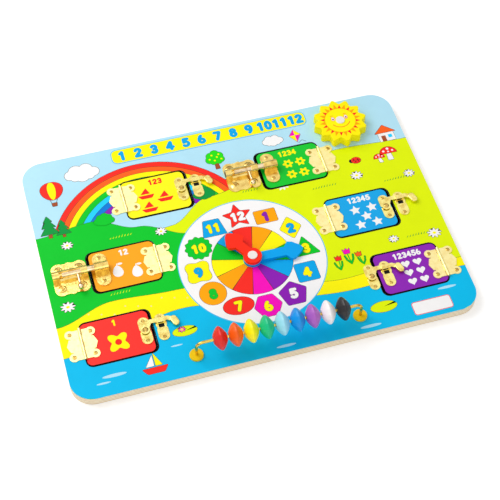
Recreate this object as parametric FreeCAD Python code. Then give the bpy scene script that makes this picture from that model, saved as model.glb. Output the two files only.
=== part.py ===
import FreeCAD, Part
import math
import os

# Wooden busy board: a printed plywood panel with six little doors, each with a
# butterfly hinge and a hook or barrel bolt, a clock with two hands, a sun knob
# and nine beads on a brass wire. Millimetres. The origin is the middle of the
# flat back face, +X runs along the long side, +Y up the picture and +Z out of
# the printed face. Every latch is shut, as the board stands in use.

os.makedirs("parts", exist_ok=True)
V = FreeCAD.Vector
UP = V(0, 0, 1)
ALONG_X = V(1, 0, 0)
ALONG_Y = V(0, 1, 0)

# Board: two birch plywood sheets glued face to face, about an A3 sheet
board_w = 420.0
board_d = 297.0
board_corner = 23.0
back_t = 4.0
front_t = 6.5
face_z = back_t + front_t

# Doors, cut from the front sheet
door_w = 68.5
door_d = 48.4
door_corner = 6.0
under_door_gap = 0.2
hinge_side_gap = 0.5
free_side_gap = 2.4
end_gap = 1.2
middle_row_y = -6.8
row_pitch = 80.9
top_row_y = middle_row_y + row_pitch
low_row_y = middle_row_y - row_pitch
top_hinge_x = 110.6
middle_hinge_x = 93.4
low_hinge_x = 188.8

# Name, hinge axis x, row y, side of the axis the door lies on, how far the
# hinge sits above the middle of the door, and the kind of latch
doors = (
    ("yellow", -top_hinge_x, top_row_y, 1, 2.5, "hook_on_door"),
    ("green", top_hinge_x, top_row_y, -1, -2.0, "bolt"),
    ("orange", -middle_hinge_x, middle_row_y, -1, -1.0, "bolt"),
    ("blue", middle_hinge_x, middle_row_y, 1, 0.7, "hook_on_door"),
    ("red", -low_hinge_x, low_row_y, 1, 1.6, "hook_on_door"),
    ("violet", low_hinge_x, low_row_y, -1, -1.7, "hook_on_board"),
)

# Butterfly hinges
leaf_t = 0.8
leaf_reach = 15.3
leaf_lobe_r = 4.8
leaf_screw_x = 10.4
leaf_screw_y = 13.1
leaf_web_y = 16.9
leaf_point_x = 12.4
leaf_notch_y = 7.3
leaf_setback = 1.8
knuckle_r = 1.5
knuckle_count = 5
knuckle_len = 36.0
knuckle_gap = 0.15
pin_r = 0.8
pin_clearance = 0.05
pin_end = 0.3

# Screws and nails
screw_r = 1.2
screw_depth = 4.5
screw_head_r = 2.3
screw_dome = 0.35
screw_dome_r = 1.4
recess_w = 0.5
recess_t = 0.5
nail_r = 0.9
nail_depth = 4.5
nail_head_r = 1.9
nail_crown_r = 1.3
nail_head_t = 0.5

# Hook latches: a plate with a riveted arm, and a plate with a tongue
hook_plate_t = 0.8
hook_plate_r = 5.5
hook_plate_half = 15.5
hook_waist = 3.2
hook_nail_y = 11.6
hook_x = 63.0
hook_pitch = 17.0
board_hook_x = 77.0
rivet_r = 1.6
rivet_head_r = 2.9
rivet_crown_r = 1.6
rivet_head_t = 1.0
rivet_collar_r = 3.4
turning_clearance = 0.05
arm_z = 1.6
arm_t = 1.2
arm_hub_r = 4.6
arm_neck_x = 4.0
arm_neck_y = 7.0
arm_neck_half = 3.3
arm_bar_y = 8.0
arm_bar_half = 2.3
arm_bend_x = 24.0
arm_end_x = 29.5
arm_end_y = 5.2
thumb_x = 30.0
thumb_y = 5.0
thumb_tip_x = 31.5
thumb_tip_y = 0.5
thumb_half = 3.6
thumb_t = 2.6
thumb_edge = 0.9
tongue_half = 4.5
tongue_t = 0.8
tongue_room = 0.5
tongue_lap = 0.6
tongue_lift = 0.3
tongue_edge = 0.7

# Barrel bolts
bolt_x = 91.0
bolt_rise = 2.0
bolt_axis_z = 6.4
bolt_plate_w = 36.0
bolt_plate_d = 39.0
bolt_plate_t = 1.0
bolt_lobe_r = 7.0
bolt_mid_lobe_r = 4.0
bolt_waist = 1.0
bolt_screw_x = 10.5
bolt_screw_y = 11.5
boss_r = 4.6
boss_rim = 0.5
boss_t = 0.8
rod_r = 3.6
rod_clearance = 0.06
barrel_wall = 1.24
rod_tip_x = 33.0
rod_rear_x = -8.0
rod_chamfer = 1.0
slot_half = 11.0
slot_top_angle = -8.0
slot_low_angle = 115.0
notch_low_angle = 124.0
notch_half = 2.1
slot_reach = 8.0
notch_reach = 7.0
bolt_travel = 16.0
grip_x = 7.7
grip_angle = 87.0
grip_ring_w = 3.8
grip_neck_r = 2.25
grip_stem_r = 1.3
grip_stem_end_r = 1.4
grip_collar_r = 2.1
grip_collar_len = 2.2
grip_collar_back = 4.7
grip_ball_r = 3.1
grip_reach = 19.0
keeper_x = 58.6
keeper_w = 14.6
keeper_d = 40.0
keeper_t = 1.0
keeper_room = 0.3
keeper_screw_y = 14.5

# Clock
clock_x = 0.2
clock_y = -34.2
hand_t = 4.0
hand_gap = 0.3
hand_hub_r = 9.5
hand_bar_half = 5.2
hand_head_half = 11.0
hand_root = 19.0
hand_wide = 14.5
hand_cheek = 9.5
hand_cheek_half = 9.5
hand_tip = 1.8
hand_tip_half = 3.6
hand_lap = 3.0
hand_fillet = 1.6
minute_len = 54.0
minute_angle = -1.5
hour_len = 38.0
hour_angle = 120.4
post_r = 3.5
post_collar_r = 7.0
cap_r = 5.0
cap_t = 1.0
cap_edge = 0.4

# Sun knob
sun_x = 143.8
sun_y = 112.1
sun_rays = 12
sun_tip_r = 31.0
sun_valley_r = 24.0
sun_t = 11.0
sun_tip_fillet = 2.4
sun_valley_fillet = 1.2
sun_edge_fillet = 0.8

# Bead wire
wire_r = 1.5
wire_y = -128.0
wire_mid_x = 0.6
wire_half_span = 84.6
wire_z = 22.0
wire_bend_r = 7.0
wire_depth = 6.0
foot_r = 7.1
foot_t = 2.6
foot_edge = 1.2
bead_names = ("red", "orange", "yellow", "green", "pale", "blue", "violet", "white", "black")
bead_pitch = 15.7
bead_mid_x = 2.7
bead_r = 12.4
bead_half_t = 6.8
bead_hub_r = 4.2
bead_shoulder_r = 9.0
bead_shoulder_x = 4.2
bead_sides = 12
bead_clearance = 0.1


def box(x0, x1, y0, y1, z0, z1):
    """Return a block between two opposite corners."""
    return Part.makeBox(x1 - x0, y1 - y0, z1 - z0, V(x0, y0, z0))


def disc(radius, z0, z1, x=0.0, y=0.0):
    """Return an upright cylinder."""
    return Part.makeCylinder(radius, z1 - z0, V(x, y, z0), UP)


def rod_along_x(radius, x0, x1, y, z):
    """Return a cylinder that lies along X."""
    return Part.makeCylinder(radius, x1 - x0, V(x0, y, z), ALONG_X)


def fuse(shapes):
    """Return one solid made of touching shapes."""
    return shapes[0].multiFuse(shapes[1:]).removeSplitter()


def moved(shape, x, y, z=face_z, turn=0.0):
    """Return a copy turned about Z and set down at a place on the face."""
    out = shape.copy()
    out.rotate(V(0, 0, 0), UP, turn)
    out.translate(V(x, y, z))
    return out


def upright_edges(shape):
    """Return the straight edges that run along Z."""
    found = []
    for edge in shape.Edges:
        first, last = edge.Vertexes[0].Point, edge.Vertexes[-1].Point
        across = math.hypot(first.x - last.x, first.y - last.y)
        if across < 1e-6 and abs(first.z - last.z) > 1e-6:
            found.append(edge)
    return found


def rounded_block(x0, x1, y0, y1, z0, z1, radius):
    """Return a block with its four upright edges rounded."""
    block = box(x0, x1, y0, y1, z0, z1)
    return block.makeFillet(radius, upright_edges(block))


def bar(x0, y0, x1, y1, half, z0, z1):
    """Return a flat bar with round ends between two points."""
    length = math.hypot(x1 - x0, y1 - y0)
    middle = box(0, length, -half, half, z0, z1)
    middle.rotate(V(0, 0, 0), UP, math.degrees(math.atan2(y1 - y0, x1 - x0)))
    middle.translate(V(x0, y0, 0))
    return fuse([disc(half, z0, z1, x0, y0), middle, disc(half, z0, z1, x1, y1)])


def prism(points, z0, z1):
    """Return a flat-sided plate from its outline."""
    ring = [V(x, y, z0) for x, y in points]
    face = Part.Face(Part.makePolygon(ring + ring[:1]))
    return face.extrude(V(0, 0, z1 - z0))


def top_edges(shape, z):
    """Return the edges that lie in one level plane."""
    found = []
    for edge in shape.Edges:
        bounds = edge.BoundBox
        if abs(bounds.ZMin - z) < 1e-6 and abs(bounds.ZMax - z) < 1e-6:
            found.append(edge)
    return found


def screw(plate_t):
    """Return a countersunk screw whose head fills its hole in a plate."""
    shank = disc(screw_r, -screw_depth, 0)
    head = Part.makeCone(screw_r, screw_head_r, plate_t, V(0, 0, 0), UP)
    dome = Part.makeCone(screw_head_r, screw_dome_r, screw_dome, V(0, 0, plate_t), UP)
    solid = fuse([shank, head, dome])
    top = plate_t + screw_dome
    for turn in (45, 135):
        groove = box(-screw_dome_r, screw_dome_r, -recess_w / 2, recess_w / 2,
                     top - recess_t, top + recess_t)
        groove.rotate(V(0, 0, 0), UP, turn)
        solid = solid.cut(groove)
    return solid


def screw_hole(plate_t):
    """Return the space that a screw takes up in plate and wood."""
    shank = disc(screw_r, -screw_depth, 0)
    head = Part.makeCone(screw_r, screw_head_r, plate_t, V(0, 0, 0), UP)
    return fuse([shank, head])


def nail(plate_t):
    """Return a round-headed nail."""
    head = Part.makeCone(nail_head_r, nail_crown_r, nail_head_t, V(0, 0, plate_t), UP)
    return fuse([disc(nail_r, -nail_depth, plate_t), head])


def nail_hole(plate_t):
    """Return the space that a nail takes up in plate and wood."""
    return disc(nail_r, -nail_depth, plate_t)


def hinge_leaf(own_knuckles):
    """Return a leaf that lies on +X of the hinge axis, with its knuckles."""
    lobes = [disc(leaf_lobe_r, 0, leaf_t, leaf_screw_x, s * leaf_screw_y) for s in (-1, 1)]
    web = box(0, leaf_screw_x, -leaf_web_y, leaf_web_y, 0, leaf_t)
    point = prism([
        (0, -leaf_notch_y), (leaf_point_x, -leaf_notch_y), (leaf_reach, 0),
        (leaf_point_x, leaf_notch_y), (0, leaf_notch_y)], 0, leaf_t)
    leaf = fuse([web, point] + lobes)
    segment = knuckle_len / knuckle_count
    tubes = []
    for i in range(knuckle_count):
        y0 = -knuckle_len / 2 + i * segment
        if i in own_knuckles:
            base = V(0, y0 + knuckle_gap / 2, knuckle_r)
            tubes.append(Part.makeCylinder(knuckle_r, segment - knuckle_gap, base, ALONG_Y))
        else:
            room = box(-leaf_setback, leaf_setback, y0 - knuckle_gap / 2,
                       y0 + segment + knuckle_gap / 2, -leaf_t, 2 * leaf_t)
            leaf = leaf.cut(room)
    end_y = knuckle_len / 2 - knuckle_gap / 2
    for y0, y1 in ((end_y, knuckle_len), (-knuckle_len, -end_y)):
        leaf = leaf.cut(box(-leaf_setback, leaf_setback, y0, y1, -leaf_t, 2 * leaf_t))
    leaf = fuse([leaf] + tubes)
    bore_base = V(0, -knuckle_len, knuckle_r)
    bore = Part.makeCylinder(pin_r + pin_clearance, 2 * knuckle_len, bore_base, ALONG_Y)
    holes = [moved(screw_hole(leaf_t), leaf_screw_x, s * leaf_screw_y, 0) for s in (-1, 1)]
    return leaf.cut([bore] + holes)


def leaf_spots(door_side):
    """Return the screw places of one leaf, measured from the hinge."""
    return [(door_side * leaf_screw_x, s * leaf_screw_y) for s in (-1, 1)]


def hook_plate():
    """Return the waisted oblong plate that both halves of a latch share."""
    end = hook_plate_half - hook_plate_r
    upper = bar(0, hook_waist, 0, end, hook_plate_r, 0, hook_plate_t)
    lower = bar(0, -hook_waist, 0, -end, hook_plate_r, 0, hook_plate_t)
    plate = fuse([upper, lower])
    return plate.cut([moved(nail_hole(hook_plate_t), 0, s * hook_nail_y, 0) for s in (-1, 1)])


def hook_catch():
    """Return the plate with a tongue that curls over the arm."""
    back_y = arm_bar_y - arm_bar_half - tongue_room - tongue_t
    tip_y = arm_bar_y + tongue_lap
    under = arm_z + arm_t + tongue_lift
    top = under + tongue_t
    curl = box(-tongue_half, tongue_half, back_y, tip_y, 0, top)
    curl = curl.cut(box(-tongue_half, tongue_half, back_y + tongue_t, tip_y, hook_plate_t, under))
    outer = [edge for edge in top_edges(curl, top) if abs(edge.CenterOfMass.y - back_y) < 1e-6]
    return fuse([hook_plate(), curl.makeFillet(tongue_edge, outer)])


def hook_rivet():
    """Return the headed stud on which the arm turns."""
    arm_top = arm_z + arm_t + turning_clearance
    collar = disc(rivet_collar_r, hook_plate_t, arm_z - turning_clearance)
    shaft = disc(rivet_r, hook_plate_t, arm_top)
    head = Part.makeCone(rivet_head_r, rivet_crown_r, rivet_head_t, V(0, 0, arm_top), UP)
    return fuse([collar, shaft, head])


def hook_arm():
    """Return the swinging arm, whose end curls down into a thumb piece."""
    top = arm_z + arm_t
    thumb_top = arm_z + thumb_t
    hub = disc(arm_hub_r, arm_z, top)
    neck = bar(0, 0, arm_neck_x, arm_neck_y, arm_neck_half, arm_z, top)
    across = bar(arm_neck_x, arm_bar_y, arm_bend_x, arm_bar_y, arm_bar_half, arm_z, top)
    slope = bar(arm_bend_x, arm_bar_y, arm_end_x, arm_end_y, arm_bar_half, arm_z, top)
    thumb = bar(thumb_x, thumb_y, thumb_tip_x, thumb_tip_y, thumb_half, arm_z, thumb_top)
    thumb = thumb.makeFillet(thumb_edge, top_edges(thumb, thumb_top))
    arm = fuse([hub, neck, across, slope, thumb])
    return arm.cut(disc(rivet_r + turning_clearance, 0, top + 1))


def wedge(angle0, angle1, radius, x0, x1):
    """Return a sector about the bolt axis, measured from up towards -Y."""
    points = [V(x0, 0, bolt_axis_z)]
    steps = 6
    for i in range(steps + 1):
        angle = math.radians(angle0 + (angle1 - angle0) * i / steps)
        points.append(V(x0, -radius * math.sin(angle), bolt_axis_z + radius * math.cos(angle)))
    face = Part.Face(Part.makePolygon(points + points[:1]))
    return face.extrude(V(x1 - x0, 0, 0))


def hump(inner_r, outer_r, x0, x1, z0):
    """Return a sheet folded over the bolt axis, open along its inside."""
    outer = [rod_along_x(outer_r, x0, x1, 0, bolt_axis_z),
             box(x0, x1, -outer_r, outer_r, z0, bolt_axis_z)]
    return fuse(outer).cut(rod_along_x(inner_r, x0 - 1, x1 + 1, 0, bolt_axis_z))


def bolt_spots():
    """Return the screw places of the bolt plate, measured from its axis."""
    return [(sx * bolt_screw_x, sy * bolt_screw_y - bolt_rise) for sx in (-1, 1) for sy in (-1, 1)]


def bolt_housing():
    """Return the lobed plate with its slotted barrel."""
    half_w = bolt_plate_w / 2
    half_d = bolt_plate_d / 2
    lobe_x = half_w - bolt_lobe_r
    lobe_y = half_d - bolt_lobe_r
    pieces = [box(-half_w, half_w, -lobe_y - bolt_rise, lobe_y - bolt_rise, 0, bolt_plate_t)]
    waist_y = half_d - bolt_waist
    pieces.append(box(-lobe_x, lobe_x, -waist_y - bolt_rise, waist_y - bolt_rise, 0, bolt_plate_t))
    for sy in (-1, 1):
        for sx in (-1, 1):
            pieces.append(disc(bolt_lobe_r, 0, bolt_plate_t, sx * lobe_x, sy * lobe_y - bolt_rise))
        mid_y = sy * (half_d - bolt_mid_lobe_r) - bolt_rise
        pieces.append(disc(bolt_mid_lobe_r, 0, bolt_plate_t, 0, mid_y))
    for x, y in bolt_spots():
        pieces.append(Part.makeCone(boss_r, screw_head_r + boss_rim, boss_t, V(x, y, bolt_plate_t), UP))
    outer_r = rod_r + rod_clearance + barrel_wall
    pieces.append(hump(rod_r + rod_clearance, outer_r, -half_w, half_w, bolt_plate_t))
    housing = fuse(pieces)
    housing = housing.cut(rod_along_x(rod_r + rod_clearance, -half_w - 1, half_w + 1, 0, bolt_axis_z))
    cuts = [wedge(slot_top_angle, slot_low_angle, slot_reach, -slot_half, slot_half)]
    for x in (grip_x, grip_x - bolt_travel):
        cuts.append(wedge(slot_low_angle - 5, notch_low_angle, notch_reach, x - notch_half, x + notch_half))
    housing = housing.cut(cuts)
    plate_t = bolt_plate_t + boss_t
    return housing.cut([moved(screw_hole(plate_t), x, y, 0) for x, y in bolt_spots()])


def bolt_rod():
    """Return the sliding rod, with a neck for the grip's ring."""
    body = rod_along_x(rod_r, rod_rear_x, rod_tip_x, 0, bolt_axis_z)
    rims = [edge for edge in body.Edges if abs(edge.CenterOfMass.x - rod_tip_x) < 1e-6]
    body = body.makeChamfer(rod_chamfer, rims)
    half = grip_ring_w / 2 + rod_clearance
    ring = rod_along_x(rod_r + 1, grip_x - half, grip_x + half, 0, bolt_axis_z)
    neck = rod_along_x(grip_neck_r, grip_x - half - 1, grip_x + half + 1, 0, bolt_axis_z)
    return body.cut(ring.cut(neck))


def bolt_grip():
    """Return the ring with its stem and ball, as it hangs when the bolt is shut."""
    half = grip_ring_w / 2
    ring = rod_along_x(rod_r, grip_x - half, grip_x + half, 0, bolt_axis_z)
    bore = rod_along_x(grip_neck_r + rod_clearance, grip_x - half - 1, grip_x + half + 1, 0, bolt_axis_z)
    angle = math.radians(grip_angle)
    way = V(0, -math.sin(angle), math.cos(angle))
    axis = V(grip_x, 0, bolt_axis_z)
    stem = Part.makeCone(grip_stem_r, grip_stem_end_r, grip_reach, axis, way)
    collar_base = axis + way * (grip_reach - grip_collar_back)
    collar = Part.makeCone(grip_stem_end_r, grip_collar_r, grip_collar_len, collar_base, way)
    ball = Part.makeSphere(grip_ball_r, axis + way * grip_reach)
    return fuse([ring, stem, collar, ball]).cut(bore)


def keeper():
    """Return the strap with the arch that the rod runs into."""
    inner_r = rod_r + keeper_room
    half_w = keeper_w / 2
    strap = bar(0, -keeper_d / 2 + half_w, 0, keeper_d / 2 - half_w, half_w, 0, keeper_t)
    arch = hump(inner_r, inner_r + keeper_t, -half_w, half_w, 0)
    room = box(-half_w - 1, half_w + 1, -inner_r, inner_r, -1, bolt_axis_z)
    strap = fuse([strap, arch]).cut(room)
    return strap.cut([moved(screw_hole(keeper_t), 0, s * keeper_screw_y, 0) for s in (-1, 1)])


def clock_hand(length, z0):
    """Return a wooden hand along +X, with a round hub and a broad head."""
    root = length - hand_root
    wide = length - hand_wide
    cheek = length - hand_cheek
    tip = length - hand_tip
    hub = disc(hand_hub_r, z0, z0 + hand_t)
    shaft = box(0, root + hand_lap, -hand_bar_half, hand_bar_half, z0, z0 + hand_t)
    head = prism([
        (root, -hand_bar_half), (wide, -hand_head_half), (cheek, -hand_cheek_half),
        (tip, -hand_tip_half), (length, 0), (tip, hand_tip_half), (cheek, hand_cheek_half),
        (wide, hand_head_half), (root, hand_bar_half)], z0, z0 + hand_t)
    outer = [edge for edge in upright_edges(head) if edge.CenterOfMass.x > root + hand_fillet / 2]
    head = head.makeFillet(hand_fillet, outer)
    hand = fuse([hub, shaft, head])
    return hand.cut(disc(post_r + turning_clearance, z0 - 1, z0 + hand_t + 1))


def post(top):
    """Return a dowel with a thin collar, from the back sheet up to its cap."""
    return fuse([disc(post_r, -front_t, top), disc(post_collar_r, 0, hand_gap)])


def cap(z0):
    """Return the round wooden cap that keeps a turning piece on its dowel."""
    solid = disc(cap_r, z0, z0 + cap_t)
    return solid.makeFillet(cap_edge, top_edges(solid, z0 + cap_t))


def sun_edges(solid, outer):
    """Return the upright edges of the sun that lie at its tips, or in its valleys."""
    split = (sun_tip_r + sun_valley_r) / 2
    found = []
    for edge in upright_edges(solid):
        reach = math.hypot(edge.CenterOfMass.x, edge.CenterOfMass.y)
        if (outer and reach > split) or (not outer and reach < sun_valley_r + 0.1):
            found.append(edge)
    return found


def sun_knob(z0):
    """Return the thick disc with twelve blunt rays, the first of them on +X."""
    points = []
    for i in range(2 * sun_rays):
        radius = sun_tip_r if i % 2 == 0 else sun_valley_r
        angle = math.pi * i / sun_rays
        points.append((radius * math.cos(angle), radius * math.sin(angle)))
    solid = prism(points, z0, z0 + sun_t)
    solid = solid.makeFillet(sun_tip_fillet, sun_edges(solid, True))
    solid = solid.makeFillet(sun_valley_fillet, sun_edges(solid, False))
    solid = solid.makeFillet(sun_edge_fillet, top_edges(solid, z0 + sun_t))
    return solid.cut(disc(post_r + turning_clearance, z0 - 1, z0 + sun_t + 1))


def bead_wire():
    """Return the bent wire, from one hole in the board to the other."""
    rise = wire_z - wire_bend_r
    run = wire_half_span - wire_bend_r
    corner = wire_bend_r * math.sqrt(0.5)
    route = Part.Wire([
        Part.makeLine(V(-wire_half_span, 0, -wire_depth), V(-wire_half_span, 0, rise)),
        Part.Arc(V(-wire_half_span, 0, rise), V(-run - corner, 0, rise + corner),
                 V(-run, 0, wire_z)).toShape(),
        Part.makeLine(V(-run, 0, wire_z), V(run, 0, wire_z)),
        Part.Arc(V(run, 0, wire_z), V(run + corner, 0, rise + corner),
                 V(wire_half_span, 0, rise)).toShape(),
        Part.makeLine(V(wire_half_span, 0, rise), V(wire_half_span, 0, -wire_depth))])
    ring = Part.Wire(Part.makeCircle(wire_r, V(-wire_half_span, 0, -wire_depth), UP))
    return route.makePipeShell([ring], True, False)


def wire_foot():
    """Return a turned wooden button that hides a hole of the wire."""
    button = disc(foot_r, 0, foot_t)
    button = button.makeFillet(foot_edge, top_edges(button, foot_t))
    return button.cut(disc(wire_r, -1, foot_t + 1))


def bead():
    """Return a faceted lens about X with a bore for the wire."""
    stations = (
        (-bead_half_t, bead_hub_r), (-bead_shoulder_x, bead_shoulder_r), (0.0, bead_r),
        (bead_shoulder_x, bead_shoulder_r), (bead_half_t, bead_hub_r))
    rings = []
    for x, radius in stations:
        angles = [2 * math.pi * i / bead_sides for i in range(bead_sides)]
        rings.append([V(x, radius * math.cos(a), radius * math.sin(a)) for a in angles])
    faces = [Part.Face(Part.makePolygon(ring + ring[:1])) for ring in (rings[0], rings[-1])]
    for near, far in zip(rings, rings[1:]):
        for i in range(bead_sides):
            j = (i + 1) % bead_sides
            corners = [near[i], near[j], far[j], far[i], near[i]]
            faces.append(Part.Face(Part.makePolygon(corners)))
    solid = Part.Solid(Part.Shell(faces))
    if solid.Volume < 0:
        solid.reverse()
    return solid.cut(rod_along_x(wire_r + bead_clearance, -bead_half_t - 1, bead_half_t + 1, 0, 0))


def save(name, *shapes):
    """Write one named piece, or several of a kind, to its own file."""
    shape = shapes[0] if len(shapes) == 1 else Part.makeCompound(list(shapes))
    shape.exportStep("parts/" + name + ".step")


# Shapes that repeat on the board
board_leaf = hinge_leaf((0, 2, 4))
door_leaf = hinge_leaf((1, 3))
pin_half = knuckle_len / 2 + pin_end
pin = Part.makeCylinder(pin_r, 2 * pin_half, V(0, -pin_half, knuckle_r), ALONG_Y)
leaf_screw = screw(leaf_t)
leaf_hole = screw_hole(leaf_t)
plate_nail = nail(hook_plate_t)
plate_nail_hole = nail_hole(hook_plate_t)
bolt_screw = screw(bolt_plate_t + boss_t)
bolt_screw_hole = screw_hole(bolt_plate_t + boss_t)
keeper_screw = screw(keeper_t)
keeper_hole = screw_hole(keeper_t)
plate = hook_plate()
catch = hook_catch()
rivet = hook_rivet()
arm = hook_arm()

# Pieces that stay with the board, gathered door by door
board_leaves = []
board_pins = []
board_fixings = []
board_catches = []
front_cuts = []

for name, hinge_x, row_y, side, hinge_shift, latch in doors:
    hinge_y = row_y + hinge_shift
    facing = 0 if side > 0 else 180
    board_leaves.append(moved(board_leaf, hinge_x, hinge_y, turn=180 - facing))
    board_pins.append(moved(pin, hinge_x, hinge_y))
    for x, y in leaf_spots(-side):
        board_fixings.append(moved(leaf_screw, hinge_x + x, hinge_y + y))
        front_cuts.append(moved(leaf_hole, hinge_x + x, hinge_y + y))

    # The opening in the front sheet, and the door that fills it
    near = hinge_side_gap
    far = hinge_side_gap + door_w + free_side_gap
    x0, x1 = sorted((hinge_x - side * near, hinge_x + side * far))
    half = door_d / 2 + end_gap
    opening = rounded_block(x0, x1, row_y - half, row_y + half,
                            back_t, face_z + 1, door_corner + end_gap)
    front_cuts.append(opening)
    x0, x1 = sorted((hinge_x + side * near, hinge_x + side * (near + door_w)))
    door = rounded_block(x0, x1, row_y - door_d / 2, row_y + door_d / 2,
                         back_t + under_door_gap, face_z, door_corner)
    fixings = []
    door_cuts = []
    for x, y in leaf_spots(side):
        fixings.append(moved(leaf_screw, hinge_x + x, hinge_y + y))
        door_cuts.append(moved(leaf_hole, hinge_x + x, hinge_y + y))

    if latch == "bolt":
        axis_x = hinge_x + side * bolt_x
        axis_y = row_y + bolt_rise
        save(name + "_bolt_housing", moved(bolt_housing(), axis_x, axis_y))
        save(name + "_bolt_rod", moved(bolt_rod(), axis_x, axis_y))
        save(name + "_bolt_grip", moved(bolt_grip(), axis_x, axis_y))
        for x, y in bolt_spots():
            board_fixings.append(moved(bolt_screw, axis_x + x, axis_y + y))
            front_cuts.append(moved(bolt_screw_hole, axis_x + x, axis_y + y))
        strap_x = hinge_x + side * keeper_x
        save(name + "_keeper", moved(keeper(), strap_x, axis_y))
        for s in (-1, 1):
            fixings.append(moved(keeper_screw, strap_x, axis_y + s * keeper_screw_y))
            door_cuts.append(moved(keeper_hole, strap_x, axis_y + s * keeper_screw_y))
    else:
        on_door = latch == "hook_on_door"
        pivot_x = hinge_x + side * (hook_x if on_door else board_hook_x)
        catch_x = pivot_x + hook_pitch
        save(name + "_hook_arm", moved(arm, pivot_x, row_y))
        save(name + "_hook_plate", moved(plate, pivot_x, row_y))
        if on_door:
            board_catches.append(moved(catch, catch_x, row_y))
        else:
            save(name + "_catch", moved(catch, catch_x, row_y))
        (fixings if on_door else board_fixings).append(moved(rivet, pivot_x, row_y))
        for x, with_door in ((pivot_x, on_door), (catch_x, not on_door)):
            for s in (-1, 1):
                y = row_y + s * hook_nail_y
                (fixings if with_door else board_fixings).append(moved(plate_nail, x, y))
                (door_cuts if with_door else front_cuts).append(moved(plate_nail_hole, x, y))

    save(name + "_door", door.cut(door_cuts))
    save(name + "_door_leaf", moved(door_leaf, hinge_x, hinge_y, turn=facing))
    save(name + "_door_fixings", *fixings)

# Clock: collar, two hands one over the other, and the cap
minute_z = hand_gap + turning_clearance
hour_z = minute_z + hand_t + hand_gap
clock_top = hour_z + hand_t + turning_clearance
save("clock_minute_hand", moved(clock_hand(minute_len, minute_z), clock_x, clock_y, turn=minute_angle))
save("clock_hour_hand", moved(clock_hand(hour_len, hour_z), clock_x, clock_y, turn=hour_angle))
save("clock_post", moved(post(clock_top), clock_x, clock_y))
save("clock_cap", moved(cap(clock_top), clock_x, clock_y))
front_cuts.append(moved(disc(post_r, -front_t, 1), clock_x, clock_y))

# Sun knob
sun_z = hand_gap + turning_clearance
sun_top = sun_z + sun_t + turning_clearance
save("sun", moved(sun_knob(sun_z), sun_x, sun_y))
save("sun_post", moved(post(sun_top), sun_x, sun_y))
save("sun_cap", moved(cap(sun_top), sun_x, sun_y))
front_cuts.append(moved(disc(post_r, -front_t, 1), sun_x, sun_y))

# Beads on their wire
save("bead_wire", moved(bead_wire(), wire_mid_x, wire_y))
feet = []
for s in (-1, 1):
    foot_x = wire_mid_x + s * wire_half_span
    feet.append(moved(wire_foot(), foot_x, wire_y))
    front_cuts.append(moved(disc(wire_r, -wire_depth, 1), foot_x, wire_y))
save("wire_feet", *feet)
for i, name in enumerate(bead_names):
    x = bead_mid_x + (i - (len(bead_names) - 1) / 2) * bead_pitch
    save("bead_" + name, moved(bead(), x, wire_y, face_z + wire_z))

# Board sheets and the small pieces fixed to them
sheet = (-board_w / 2, board_w / 2, -board_d / 2, board_d / 2)
save("back_panel", rounded_block(*sheet, 0, back_t, board_corner))
save("front_panel", rounded_block(*sheet, back_t, face_z, board_corner).cut(front_cuts))
save("hinge_leaves", *board_leaves)
save("hinge_pins", *board_pins)
save("board_fixings", *board_fixings)
save("board_catches", *board_catches)
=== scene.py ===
import math

import bmesh
import bpy
import numpy as np
from mathutils import Matrix, Vector


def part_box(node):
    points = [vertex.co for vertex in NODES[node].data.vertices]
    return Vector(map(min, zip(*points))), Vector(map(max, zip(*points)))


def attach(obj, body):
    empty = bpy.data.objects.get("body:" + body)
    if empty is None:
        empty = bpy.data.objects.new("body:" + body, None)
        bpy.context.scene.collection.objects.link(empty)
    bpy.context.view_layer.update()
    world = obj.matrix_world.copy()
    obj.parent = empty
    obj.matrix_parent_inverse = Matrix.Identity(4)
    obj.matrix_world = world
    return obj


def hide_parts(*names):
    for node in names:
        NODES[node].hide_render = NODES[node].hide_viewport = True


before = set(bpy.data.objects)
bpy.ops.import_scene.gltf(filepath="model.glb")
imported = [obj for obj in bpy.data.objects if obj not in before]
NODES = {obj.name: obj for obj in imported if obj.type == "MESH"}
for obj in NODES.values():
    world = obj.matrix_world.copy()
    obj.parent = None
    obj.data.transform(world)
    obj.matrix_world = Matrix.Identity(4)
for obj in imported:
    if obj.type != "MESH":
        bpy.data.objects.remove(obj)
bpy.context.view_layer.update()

# Outlines and places are written in millimetres of the row frame
MM = 0.001
DOORS = ("yellow", "green", "orange", "blue", "red", "violet")
BOLTED = ("green", "orange")
HOOKED = ("yellow", "blue", "red", "violet")


def node_box(name):
    """Low and high corner of a node's box in millimetres."""
    low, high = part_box(name)
    return np.array(low) / MM, np.array(high) / MM


def node_middle(name):
    """Middle of a node's box in millimetres."""
    low, high = node_box(name)
    return (low + high) / 2


def cut_out(door):
    """Middle, width, depth and free side, 1 or -1, of a door's cut-out, which is wider on that side."""
    low, high = node_box(door + "_door")
    side = 1 if node_middle(door + "_door_leaf")[0] < (low[0] + high[0]) / 2 else -1
    x = (low[0] + high[0]) / 2 + side * (FREE_GAP - HINGE_GAP) / 2
    width, depth = high[0] - low[0] + HINGE_GAP + FREE_GAP, high[1] - low[1] + 2 * END_GAP
    return x, (low[1] + high[1]) / 2, width, depth, side


BOARD_HALF = node_box("front_panel")[1][:2]
FACE = node_box("front_panel")[1][2]
SHEET_TOP = node_box("back_panel")[1][2]
SUN_FACE = node_box("sun")[1][2]
CLOCK = node_middle("clock_cap")[:2]
SUN = node_middle("sun_cap")[:2]
PLY = 1.3
BOARD_CORNER = 23.0

# Cut-outs round the doors, as gaps to the door's edges, and a sharp knife's allowance
HINGE_GAP = 1.0
FREE_GAP = 2.4
END_GAP = 1.2
WINDOW_CORNER = 7.2
TRIM = 0.05

# One printed layer is this thick, and each starts a little inside the wood
INK = 0.016
ROOT = 0.02
LINE = 0.38

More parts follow.
